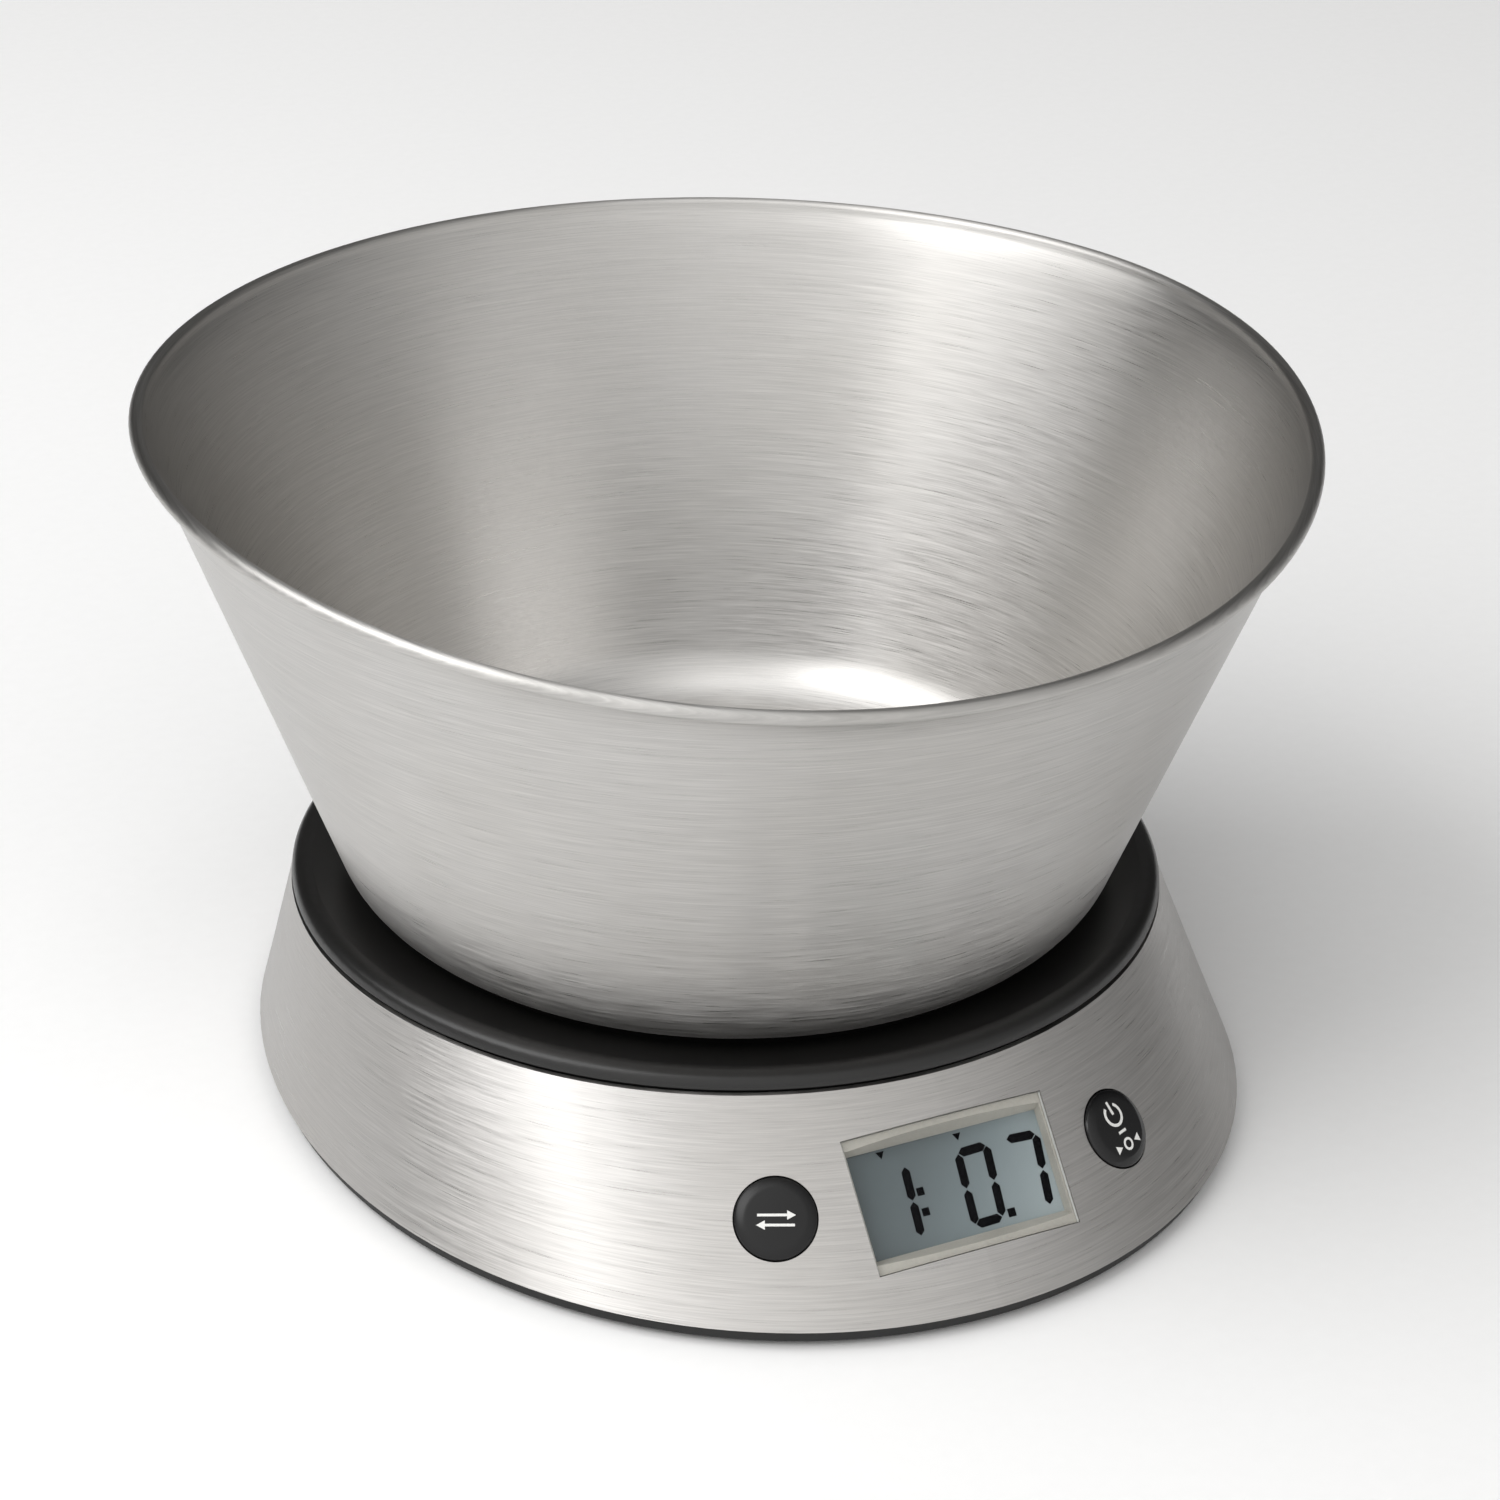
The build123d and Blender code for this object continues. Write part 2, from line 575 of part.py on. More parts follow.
def key_switches():
    """Switch cases; each has a well in which its stem travels."""
    switches = []
    for plane in BUTTON_PLANES.values():
        case = slab(plane, 3, -3, 3, KEY_BOARD_TOP, SWITCH_TOP)
        switches.append(case - rod(plane, 0, 0, STEM_RADIUS + 0.1, SWITCH_TOP - 2, SWITCH_TOP + 1))
    return switches


# ---------------------------------------------------------------- battery bay parts

def battery_door():
    """Flat door with a rounded hinge edge, two hinge pins and a ribbed inside."""
    half, front, rear = DOOR
    door = block(-half, half, front, rear, FOOT_DROP, FOOT_DROP + DOOR_THICK)
    hinge_edges = door.edges().filter_by(Axis.X).group_by(Axis.Y)[-1]
    door = fillet(hinge_edges, DOOR_THICK / 2 - 0.01)
    door += Pos(0, HINGE_Y, HINGE_Z) * Rot(0, 90, 0) * Cylinder(DOOR_PIN, 2 * (half + 1.6))
    return door


def battery_cells():
    nub_radius, nub = CELL_NUB
    cell = Cylinder(CELL_RADIUS, CELL_BODY)
    cell = fillet(cell.edges(), 0.6)
    cell += Pos(0, 0, CELL_BODY / 2 + nub / 2) * Cylinder(nub_radius, nub)
    contact = BAY[0] - 0.9
    middle = contact - nub - CELL_BODY / 2
    first = Pos(middle, BATTERY_ROWS[0], BATTERY_HEIGHT) * Rot(0, 90, 0) * cell
    second = Pos(-middle, BATTERY_ROWS[1], BATTERY_HEIGHT) * Rot(0, -90, 0) * cell
    return [first, second]


def positive_contacts():
    plates = []
    for side, row in zip((1, -1), BATTERY_ROWS):
        plate = Pos(side * (BAY[0] - 0.45), row, BATTERY_HEIGHT) * Box(0.5, 8, 9)
        plates.append(fillet(plate.edges().filter_by(Axis.X), 1.5))
    return plates


def negative_contacts():
    """Leaf springs folded towards the flat end of each cell."""
    leaves = []
    foot, tip = BAY[0] - 0.5, BAY[0] - 5.4
    for side, row in zip((-1, 1), BATTERY_ROWS):
        path = Polyline((side * foot, 4.2), (side * foot, 12.6), (side * tip, 8.6), (side * (tip + 2.5), 5.4))
        leaves.append(Pos(0, row + 3, 0) * extrude(Plane.XZ * trace(path, 0.4), 6))
    return leaves


# ---------------------------------------------------------------- wiring

def wire(points, bend, radius=0.5):
    path = FilletPolyline(*points, radius=bend)
    return sweep(Plane(origin=path @ 0, z_dir=path % 0) * Circle(radius), path=path)


def board_pad(x, y):
    """Where a wire meets the back of the main board, and a point straight out from it."""
    back = -BOARD_DEPTH - BOARD - 0.05
    near = FACE.from_local_coords(Vector(x, y, back))
    far = FACE.from_local_coords(Vector(x, y, back - 6))
    return near, far


def signal_wires():
    """Four wires from the gauges, along the base plate, to the main board."""
    wires = []
    for i in range(4):
        x = -6 + 1.4 * i
        near, far = board_pad(x, -1)
        wires.append(wire([near, far, (x, -62, WIRE_LEVEL), (x, -24, WIRE_LEVEL), (x, -CELL_SIDE / 2 - 0.1, 15.3)], 3))
    return wires


def battery_wires():
    """Supply and return, round the weighing cell's fixed end."""
    wires = []
    for i in range(2):
        step = 1.6 * i
        near, far = board_pad(-16 - step, -3)
        start = (-BAY[0] - BAY_WALL - 0.1, BATTERY_ROWS[0] - step, 9)
        route = [near, far, (-24 - step, -64, WIRE_LEVEL)]
        route += [(-56 - step, -34, WIRE_LEVEL), (-56 - step, 16 - step, WIRE_LEVEL)]
        wires.append(wire(route + [(-46, BATTERY_ROWS[0] - step, 9), start], 3))
    return wires


NODES = {
    "housing_shell": housing_shell(),
    "inner_frame": inner_frame(),
    "base_tray": base_tray(),
    "rubber_feet": rubber_feet(),
    "case_screws": case_screws(),
    "load_cell": load_cell(),
    "gauge_potting": gauge_potting(),
    "lower_spacer": cell_spacer(-1, PAD_TOP),
    "upper_spacer": cell_spacer(1, CELL_TOP),
    "lower_cell_screws": lower_cell_screws(),
    "upper_cell_screws": upper_cell_screws(),
    "platform": platform(),
    "platform_support": platform_support(),
    "platform_screws": platform_screws(),
    "bowl": bowl(),
    "display_lens": display_lens(),
    "display_bezel": display_bezel(),
    "display_front_glass": display_front_glass(),
    "display_rear_glass": display_rear_glass(),
    "display_reflector": display_reflector(),
    "contact_strip": contact_strip(),
    "main_board": main_board(),
    "processor_cover": processor_cover(),
    "board_components": board_components(),
    "board_screws": board_screws(),
    "unit_button": button("unit"),
    "tare_button": button("tare"),
    "unit_switch_stem": switch_stem("unit"),
    "tare_switch_stem": switch_stem("tare"),
    "key_boards": key_boards(),
    "key_switches": key_switches(),
    "battery_door": battery_door(),
    "battery_cells": battery_cells(),
    "positive_contacts": positive_contacts(),
    "negative_contacts": negative_contacts(),
    "signal_wires": signal_wires(),
    "battery_wires": battery_wires(),
}

for node, shape in NODES.items():
    body = Compound(children=shape) if isinstance(shape, list) else shape
    body.label = node
    export_step(body, f"parts/{node}.step")
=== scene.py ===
import math

import bmesh
import bpy
from mathutils import Matrix, Vector


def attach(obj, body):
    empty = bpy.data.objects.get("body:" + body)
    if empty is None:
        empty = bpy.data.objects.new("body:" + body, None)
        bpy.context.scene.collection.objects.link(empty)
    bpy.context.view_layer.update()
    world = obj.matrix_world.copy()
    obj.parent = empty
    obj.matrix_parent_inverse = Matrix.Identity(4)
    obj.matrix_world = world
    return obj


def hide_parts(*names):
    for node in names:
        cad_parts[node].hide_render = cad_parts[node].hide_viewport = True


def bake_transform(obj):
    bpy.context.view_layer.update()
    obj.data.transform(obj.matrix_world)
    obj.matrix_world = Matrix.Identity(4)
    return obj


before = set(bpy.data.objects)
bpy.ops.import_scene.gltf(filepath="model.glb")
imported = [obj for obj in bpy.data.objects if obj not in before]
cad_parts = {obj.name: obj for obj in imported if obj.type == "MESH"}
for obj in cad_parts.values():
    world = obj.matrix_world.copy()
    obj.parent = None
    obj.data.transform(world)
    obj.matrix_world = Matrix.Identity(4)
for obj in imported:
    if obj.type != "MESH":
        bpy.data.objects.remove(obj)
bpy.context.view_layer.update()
MM = 0.001


# ------------------------------------------------------------------ sizes, in mm

# Steel wall: heights of its edges, radius at the top, and reach of the egg-shaped lower edge.
WALL_LOW, WALL_HIGH = 3.8, 34.6
WALL_TOP = 82.4
WALL_FRONT, WALL_BACK, WALL_SIDE = 110.4, 96.7, 90.3

# The display and the buttons sit on the wall at these heights and angles from the front.
DISPLAY_HEIGHT = 18.8
BUTTON_HEIGHT, BUTTON_ANGLE = 18.5, 20.5

# Bowl: cone, rounded foot, sheet thickness, and a rim that dips towards the display.
FOOT, SEAT, SPREAD, CORNER, SHEET = 70.3, 34.8, 0.372, 14.3, 0.75
RIM, DIP, DIP_START = 128.7, 12.8, 40.0
BEAD, BEAD_OFFSET, BEAD_END = 1.3, 0.85, -96.0
FLOOR_RINGS, FOOT_STEPS, WALL_STEPS, FLARE_STEPS, BEAD_STEPS = 8, 10, 9, 8, 16
BOWL_SIDES = 192

# Its wall turns outwards into the bead. Depths below the rim where that starts, ends and is full; reach.
INNER_FLARE = (6.0, 0.2, 0.0, 0.44)
OUTER_FLARE = (7.0, 1.5, 1.4, 0.75)

# Display figures: stroke, gap between strokes, and where the ink lies below the wall's face.
SEGMENT, SEGMENT_GAP = 1.6, 0.12
INK_LOW, INK_HIGH = -5.01, -4.975

# Buttons: dome, sloping ring round it, skirt, flange, hollow and push boss.
BUTTON_DOME, BUTTON_PROUD = 60.0, 1.2
DOME_RINGS = (1, 2, 3, 4, 5, 5.45)
RING_PROFILE = [(5.6, 0.90), (5.75, 0.86), (6.3, 0.66), (6.8, 0.42), (7.0, 0.27), (7.1, 0.05)]
SKIRT_RADIUS, FLANGE_RADIUS, HOLLOW_RADIUS, BOSS_RADIUS = 7.1, 8.6, 5.6, 1.5
FLANGE_TOP, FLANGE_BOTTOM, HOLLOW_TOP, BOSS_END = -2.9, -3.9, -0.4, -4.0
BUTTON_SIDES = 96
BUTTON_CREASE = math.radians(40)
PRINT_LIFT, PRINT_THICKNESS = 0.03, 0.02


# ------------------------------------------------------------------ places on the steel wall

def wall_radius(angle, z):
    """Outer face of the steel wall: egg-shaped at its lower edge and round at its top."""
    shift = (WALL_FRONT - WALL_BACK) / 2
    oval = ((WALL_FRONT + WALL_BACK) / 2 - WALL_SIDE) / 2
    swing = math.radians(angle)
    egg = WALL_SIDE + oval + shift * math.cos(swing) + oval * math.cos(2 * swing)
    rise = (z - WALL_LOW) / (WALL_HIGH - WALL_LOW)
    return egg * (1 - rise) + WALL_TOP * rise


def wall_point(angle, z):
    swing = math.radians(angle)
    reach = wall_radius(angle, z)
    return Vector((reach * math.sin(swing), -reach * math.cos(swing), z)) * MM


def wall_matrix(angle, z):
    """Local X level, local Y up the slope, local Z out of the housing."""
    step = 0.05
    along = wall_point(angle + step, z) - wall_point(angle - step, z)
    upward = wall_point(angle, z + step) - wall_point(angle, z - step)
    outward = along.cross(upward).normalized()
    level = Vector((0, 0, 1)).cross(outward).normalized()
    slope = outward.cross(level)
    rotation = Matrix((level, slope, outward)).transposed().to_4x4()
    return Matrix.Translation(wall_point(angle, z)) @ rotation


FACE = wall_matrix(0, DISPLAY_HEIGHT)
BUTTONS = {
    "unit": wall_matrix(-BUTTON_ANGLE, BUTTON_HEIGHT),
    "tare": wall_matrix(BUTTON_ANGLE, BUTTON_HEIGHT),
}


# ------------------------------------------------------------------ shader nodes

def shaded(colour, factor):
    return tuple(min(1, channel * factor) for channel in colour)


class Nodes:
    """Short names for the shader nodes that the materials and the studio walls are made of."""

    def __init__(self, tree):
        self.tree = tree

    def feed(self, socket, value):
        if isinstance(value, bpy.types.NodeSocket):
            self.tree.links.new(value, socket)
        else:
            socket.default_value = value

    def node(self, kind, **inputs):
        made = self.tree.nodes.new(kind)
        for name, value in inputs.items():
            self.feed(made.inputs[name.replace("_", " ")], value)
        return made

    def math(self, operation, a, b=0.0):
        made = self.tree.nodes.new("ShaderNodeMath")
        made.operation = operation
        self.feed(made.inputs[0], a)
        self.feed(made.inputs[1], b)
        return made.outputs[0]

    def add(self, a, b):
        return self.math("ADD", a, b)

    def times(self, a, b):
        return self.math("MULTIPLY", a, b)

    def over(self, a, b):
        return self.math("DIVIDE", a, b)

    def blend(self, a, b, share):
        """The given share of a, and the rest of b."""
        return self.add(self.times(a, share), self.times(b, 1 - share))

    def place(self, output="Object"):
        return self.tree.nodes.new("ShaderNodeTexCoord").outputs[output]

    def parts(self, vector):
        made = self.tree.nodes.new("ShaderNodeSeparateXYZ")
        self.feed(made.inputs[0], vector)
        return made.outputs

    def join(self, x, y, z):
        made = self.tree.nodes.new("ShaderNodeCombineXYZ")
        for socket, value in zip(made.inputs, (x, y, z)):
            self.feed(socket, value)
        return made.outputs[0]

    def vector_math(self, operation, vector, other):
        made = self.tree.nodes.new("ShaderNodeVectorMath")
        made.operation = operation
        self.feed(made.inputs[0], vector)
        made.inputs[1].default_value = other
        return made.outputs

    def noise(self, vector, scale, detail=2.0, rough=0.5):
        made = self.node("ShaderNodeTexNoise", Vector=vector, Scale=scale, Detail=detail, Roughness=rough)
        return made.outputs["Fac"]

    def ramp(self, value, stops):
        """Colour ramp; a stop's colour may be a single grey level."""
        made = self.node("ShaderNodeValToRGB", Fac=value)
        elements = made.color_ramp.elements
        while len(elements) < len(stops):
            elements.new(0.5)
        for element, (place, colour) in zip(elements, stops):
            element.position = place
            element.color = (*colour, 1) if isinstance(colour, tuple) else (colour, colour, colour, 1)
        return made.outputs["Color"]

    def spread(self, value, low, high, start=0.0, end=1.0):
        """Maps value from [start, end] to [low, high]."""
        made = self.node("ShaderNodeMapRange", Value=value)
        made.clamp = True
        for socket, number in zip(("From Min", "From Max", "To Min", "To Max"), (start, end, low, high)):
            made.inputs[socket].default_value = number
        return made.outputs["Result"]

    def tinted(self, colour, tint):
        made = self.tree.nodes.new("ShaderNodeMix")
        made.data_type = "RGBA"
        made.blend_type = "MULTIPLY"
        factor, first, second, result = made.inputs[0], made.inputs[6], made.inputs[7], made.outputs[2]
        self.feed(factor, 1.0)
        self.feed(first, colour)
        self.feed(second, tint)
        return result


class Surface(Nodes):
    """One material's nodes around a Principled shader."""

    def __init__(self, name, colour, roughness, metallic=0.0, **settings):
        self.material = bpy.data.materials.new(name)
        self.material.use_nodes = True
        super().__init__(self.material.node_tree)
        self.shader = self.tree.nodes["Principled BSDF"]
        self.relief = None
        self.set("Base Color", (*colour, 1))
        self.set("Roughness", roughness)
        self.set("Metallic", metallic)
        for socket, value in settings.items():
            self.set(socket.replace("_", " "), value)

    def set(self, socket, value):
        self.feed(self.shader.inputs[socket], value)

    def bump(self, height, distance):
        """Adds a relief of that depth in metres on top of any earlier one."""
        made = self.node("ShaderNodeBump", Height=height, Distance=distance, Strength=1.0)
        if self.relief:
            self.feed(made.inputs["Normal"], self.relief)
        self.relief = made.outputs["Normal"]
        self.set("Normal", self.relief)


# ------------------------------------------------------------------ metals

def turned(surface, rise, reach):
    """Coordinates round the upright axis: direction east and north, and distance across the brushing."""
    x, y, z = surface.parts(surface.place())
    radius = surface.math("SQRT", surface.add(surface.times(x, x), surface.times(y, y)))
    across = surface.add(surface.times(z, rise), surface.times(radius, reach))
    return surface.over(x, radius), surface.over(y, radius), across


def streaks(surface, place, width, length):
    """Noise drawn out along the brushing: width across the streaks and length along them, in metres."""
    typical_radius = 0.1
    east, north, across = place
    run = typical_radius / length
    vector = surface.join(surface.times(east, run), surface.times(north, run), surface.over(across, width))
    return surface.noise(vector, 1.0, 2.0, 0.6)


def brushed_steel(name, colour, rise=1.0, reach=0.0, gloss=(0.25, 0.45)):
    """Steel brushed level round the upright axis, with fine and broad streaks and slow clouding."""
    surface = Surface(name, colour, 0.3, 1.0, Anisotropic=0.8, Anisotropic_Rotation=0.25)
    place = turned(surface, rise, reach)
    fine = streaks(surface, place, 0.00018, 0.013)
    broad = streaks(surface, place, 0.00050, 0.032)
    cloud = surface.noise(surface.place(), 22.0)
    lines = surface.blend(fine, broad, 0.68)
    shade = surface.ramp(lines, [(0.3, shaded(colour, 0.82)), (0.7, shaded(colour, 1.17))])
    tint = surface.ramp(cloud, [(0.3, (0.94, 0.935, 0.925)), (0.7, 1.0)])
    surface.set("Base Color", surface.tinted(shade, tint))
    surface.set("Roughness", surface.spread(lines, *gloss, 0.3, 0.7))
    surface.bump(fine, 0.000008)
    surface.bump(broad, 0.000003)
    tangent = surface.tree.nodes.new("ShaderNodeTangent")
    tangent.direction_type = "RADIAL"
    tangent.axis = "Z"
    surface.set("Tangent", tangent.outputs[0])
    return surface.material


def plated(name, colour, roughness):
    """Plated metal with faint tool marks and dull patches."""
    surface = Surface(name, colour, roughness, 1.0)
    place = surface.place()
    marks = surface.noise(place, 1400.0, 3.0)
    patches = surface.noise(place, 160.0, 3.0)
    surface.set("Base Color", surface.ramp(patches, [(0.3, shaded(colour, 0.8)), (0.7, colour)]))
    surface.set("Roughness", surface.spread(patches, roughness * 0.75, roughness * 1.3, 0.3, 0.7))
    surface.bump(marks, 0.000008)
    return surface.material


housing_steel = brushed_steel("housing_steel", (0.56, 0.548, 0.535))
bowl_steel = brushed_steel("bowl_steel", (0.57, 0.56, 0.546), 0.9, 0.5)
rim_steel = brushed_steel("rim_steel", (0.56, 0.55, 0.535), 0.5, 1.0, (0.36, 0.48))
aluminium = plated("milled_aluminium", (0.74, 0.75, 0.76), 0.32)
zinc = plated("zinc_steel", (0.56, 0.56, 0.53), 0.30)
nickel = plated("nickel", (0.66, 0.64, 0.58), 0.24)


# ------------------------------------------------------------------ plastics and rubber

def moulded(name, colour, roughness, grain=0.00035, depth=0.00001, **settings):
    """Moulded plastic or rubber: a fine grain, slow colour drift and rubbed patches."""
    surface = Surface(name, colour, roughness, **settings)
    place = surface.place()
    fine = surface.noise(place, 1 / grain, 3.0, 0.6)
    drift = surface.noise(place, 35.0, 3.0)
    tones = [(0.3, shaded(colour, 0.86)), (0.7, shaded(colour, 1.14))]
    surface.set("Base Color", surface.ramp(surface.blend(fine, drift, 0.35), tones))
    rubbed = surface.spread(drift, roughness * 0.88, min(1, roughness * 1.12), 0.3, 0.7)
    surface.set("Roughness", rubbed)
    surface.bump(fine, depth)
    return surface.material


platform_plastic = moulded("platform_plastic", (0.009, 0.0087, 0.0084), 0.33, 0.00035, 0.000012)
base_plastic = moulded("base_plastic", (0.006, 0.006, 0.006), 0.5, 0.0004, 0.000015)
satin_button = moulded("satin_button", (0.004, 0.004, 0.0045), 0.34, 0.0003, 0.000006,
                       Specular_IOR_Level=0.4)
gloss_button = moulded("gloss_button", (0.003, 0.003, 0.0035), 0.16, 0.0005, 0.000003,
                       Specular_IOR_Level=0.45)
bezel_plastic = moulded("bezel_plastic", (0.47, 0.455, 0.41), 0.42, 0.0006, 0.000004)
print_white = moulded("print_white", (0.82, 0.82, 0.80), 0.5, 0.0003, 0.000003)
segment_ink = moulded("segment_ink", (0.003, 0.003, 0.004), 0.6, 0.0002, 0.000002,
                      Specular_IOR_Level=0.05)
circuit = moulded("circuit_board", (0.012, 0.075, 0.028), 0.35, 0.0006, 0.00001, Coat_Weight=0.4)
resin = moulded("chip_resin", (0.012, 0.012, 0.012), 0.2, 0.0008, 0.00002)
ceramic = moulded("component_ceramic", (0.32, 0.24, 0.15), 0.4)
silicone = moulded("silicone", (0.72, 0.72, 0.70), 0.35, 0.001, 0.00003, Subsurface_Weight=0.2)
foot_rubber = moulded("foot_rubber", (0.020, 0.020, 0.020), 0.75, 0.0003, 0.00003)
strip_rubber = moulded("strip_rubber", (0.16, 0.07, 0.22), 0.6)
sleeve = moulded("battery_sleeve", (0.035, 0.16, 0.085), 0.25, 0.0008, 0.000004, Coat_Weight=0.5)
jacket = moulded("wire_jacket", (0.42, 0.022, 0.018), 0.42)


# ------------------------------------------------------------------ display film and lens

# In metres over the display's plane: half the film's width, and the stretch of its slope over which
# painted shade darkens it; then the film's colours, from painted shade to lit.
FILM_SIDE = 0.0195
FILM_LOW, FILM_HIGH = -0.0075, 0.0118
FILM_PAINTED_SHADE_TONES = [(0.0, (0.105, 0.130, 0.138)), (0.35, (0.150, 0.182, 0.192)),
              (0.62, (0.235, 0.285, 0.300)), (1.0, (0.430, 0.500, 0.520))]


def along_face(surface, axis):
    """Distance over the display's plane, in metres, along its X or up its slope."""
    offset = surface.vector_math("SUBTRACT", surface.place(), FACE.translation)[0]
    return surface.vector_math("DOT_PRODUCT", offset, FACE.col[axis].to_3d())["Value"]


def display_film():
    """Grey reflective display, with painted shade that darkens it to the left and under its upper edge."""
    surface = Surface("display_film", (0.3, 0.34, 0.35), 0.32, Specular_IOR_Level=0.4)
    across = surface.spread(along_face(surface, 0), 0.0, 1.0, -FILM_SIDE, FILM_SIDE)
    up = surface.spread(along_face(surface, 1), 0.0, 1.0, FILM_LOW, FILM_HIGH)
    down = surface.math("SUBTRACT", 1.0, up)
    # Painted shade: the film's colour is darker to the left and towards its upper edge, where less light
    # falls on it.
    painted_shade_tone = surface.ramp(surface.blend(across, down, 0.78), FILM_PAINTED_SHADE_TONES)
    weave = surface.noise(surface.place(), 5200.0)
    surface.set("Base Color", surface.tinted(painted_shade_tone, surface.ramp(weave, [(0.3, 0.95), (0.7, 1.0)])))
    surface.bump(weave, 0.000004)
    return surface.material


def clear_lens():
    """Clear acrylic: nearly invisible on its face, bright along its cut edges."""
    surface = Surface("clear_lens", (0.97, 0.98, 0.97), 0.06, IOR=1.49)
    normal = surface.tree.nodes.new("ShaderNodeNewGeometry").outputs["True Normal"]
    outward = FACE.col[2].to_3d()
    facing = surface.math("ABSOLUTE", surface.vector_math("DOT_PRODUCT", normal, outward)["Value"])
    edge = surface.spread(facing, 1.0, 0.0, 0.35, 0.6)
    scuffs = surface.noise(surface.place(), 900.0, 4.0)
    surface.set("Roughness", surface.spread(scuffs, 0.03, 0.09, 0.3, 0.7))
    surface.set("Base Color", surface.ramp(edge, [(0.0, 0.0), (1.0, (0.9, 0.92, 0.9))]))
    surface.set("Alpha", surface.spread(edge, 0.05, 0.75))
    return surface.material


# ------------------------------------------------------------------ finishes of the CAD pieces

film = display_film()
FINISHES = {
    "housing_shell": housing_steel, "bowl": bowl_steel, "platform": platform_plastic,
    "base_tray": base_plastic, "inner_frame": base_plastic, "battery_door": base_plastic,
    "rubber_feet": foot_rubber, "case_screws": zinc, "load_cell": aluminium, "gauge_potting": silicone,
    "lower_spacer": zinc, "upper_spacer": zinc, "lower_cell_screws": zinc, "upper_cell_screws": zinc,
    "platform_support": zinc, "platform_screws": zinc, "display_lens": clear_lens(),
    "display_bezel": bezel_plastic, "display_front_glass": film, "display_rear_glass": film,
    "display_reflector": nickel, "contact_strip": strip_rubber, "main_board": circuit,
    "key_boards": circuit, "processor_cover": resin, "board_components": ceramic, "board_screws": zinc,
    "unit_button": satin_button, "tare_button": gloss_button, "unit_switch_stem": base_plastic,
    "tare_switch_stem": base_plastic, "key_switches": resin, "battery_cells": sleeve,
    "positive_contacts": nickel, "negative_contacts": nickel, "signal_wires": jacket,
    "battery_wires": jacket,
}
for name, material in FINISHES.items():
    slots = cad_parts[name].data.materials
    slots.clear()
    slots.append(material)


# ------------------------------------------------------------------ new pieces

def linked(name, data):
    made = bpy.data.objects.new(name, data)
    bpy.context.scene.collection.objects.link(made)
    return made


def new_piece(name, mesh, materials, body):
    """Finished piece from mesh code, riding on a body."""
    data = bpy.data.meshes.new(name)
    mesh.to_mesh(data)
    mesh.free()
    for material in materials:
        data.materials.append(material)
    piece = linked(name, data)
    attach(piece, body)
    return piece


def bending(name, node):
    """Copy of a CAD piece of the weighing cell, which bends between its fixed end and the end that carries
    the platform; the CAD piece is hidden.
    """
    piece = linked(name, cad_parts[node].data.copy())
    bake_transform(piece)
    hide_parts(node)


bending("load_cell_bar", "load_cell")
bending("gauge_cover", "gauge_potting")


# ------------------------------------------------------------------ bowl

def bowl_radius(z):
    return FOOT + (z - SEAT) * SPREAD


def rim_height(y):
    """Level at the back, and an arc down to the dip at the front."""
    if y >= DIP_START:
        return RIM
    run = DIP_START + bowl_radius(RIM - DIP)
    arc = (run ** 2 + DIP ** 2) / (2 * DIP)
    return RIM - arc + math.sqrt(arc ** 2 - (y - DIP_START) ** 2)


def rim_at(swing):
    """Rim height in one direction. The cone's radius there depends on it, so it is found step by step."""
    z = RIM
    for _ in range(12):
        z = rim_height(-bowl_radius(z) * math.cos(swing))
    return z


def foot_profile(inset):
    """Floor and rounded foot of the cone, as (radius, height) up to where the wall is straight."""
    lean = math.sqrt(1 + SPREAD ** 2)
    level = SEAT + inset
    corner = CORNER - inset
    turn = math.pi / 2 - math.atan(SPREAD)
    back = corner * math.tan(turn / 2)
    centre = Vector((bowl_radius(level) - inset * lean - back, level + corner))
    points = [(centre.x * i / FLOOR_RINGS, level) for i in range(1, FLOOR_RINGS)]
    for i in range(FOOT_STEPS + 1):
        t = -math.pi / 2 + turn * i / FOOT_STEPS
        points.append((centre.x + corner * math.cos(t), centre.y + corner * math.sin(t)))
    return points


def wall_profile(low, high, inset, steps=WALL_STEPS):
    lean = math.sqrt(1 + SPREAD ** 2)
    rise = [low + (high - low) * i / steps for i in range(1, steps + 1)]
    return [(bowl_radius(z) - inset * lean, z) for z in rise]


def flared_wall(top, flare, inset):
    """Last stretch of the wall, turned smoothly outwards below the rim."""
    start, end, full, reach = flare
    profile = []
    for r, z in wall_profile(top - start, top - end, inset, FLARE_STEPS):
        part = min(1.0, max(0.0, 1 - (top - full - z) / (start - full)))
        profile.append((r + reach * part ** 2, z))
    return profile


def bead_profile(top):
    start = 180 - math.degrees(math.atan(SPREAD))
    points = []
    for i in range(BEAD_STEPS + 1):
        t = math.radians(start + (BEAD_END - start) * i / BEAD_STEPS)
        points.append((bowl_radius(top) + BEAD_OFFSET + BEAD * math.cos(t), top + BEAD * math.sin(t)))
    return points


def bowl_section(top):
    """From the middle of the inside floor, over the rolled rim, to the underside, in three runs."""
    inside, outside = foot_profile(SHEET), foot_profile(0.0)
    for side, flare, inset in ((inside, INNER_FLARE, SHEET), (outside, OUTER_FLARE, 0.0)):
        side += wall_profile(side[-1][1], top - flare[0], inset)
        side += flared_wall(top, flare, inset)
    return inside, bead_profile(top), outside[::-1]


def bowl_column(mesh, swing):
    """One upright section of the bowl, and which of its points bound the rolled rim."""
    inside, bead, outside = bowl_section(rim_at(swing))
    east, north = math.sin(swing), -math.cos(swing)
    run = inside + bead + outside
    verts = [mesh.verts.new((r * east * MM, r * north * MM, z * MM)) for r, z in run]
    return verts, len(inside), len(inside) + len(bead)


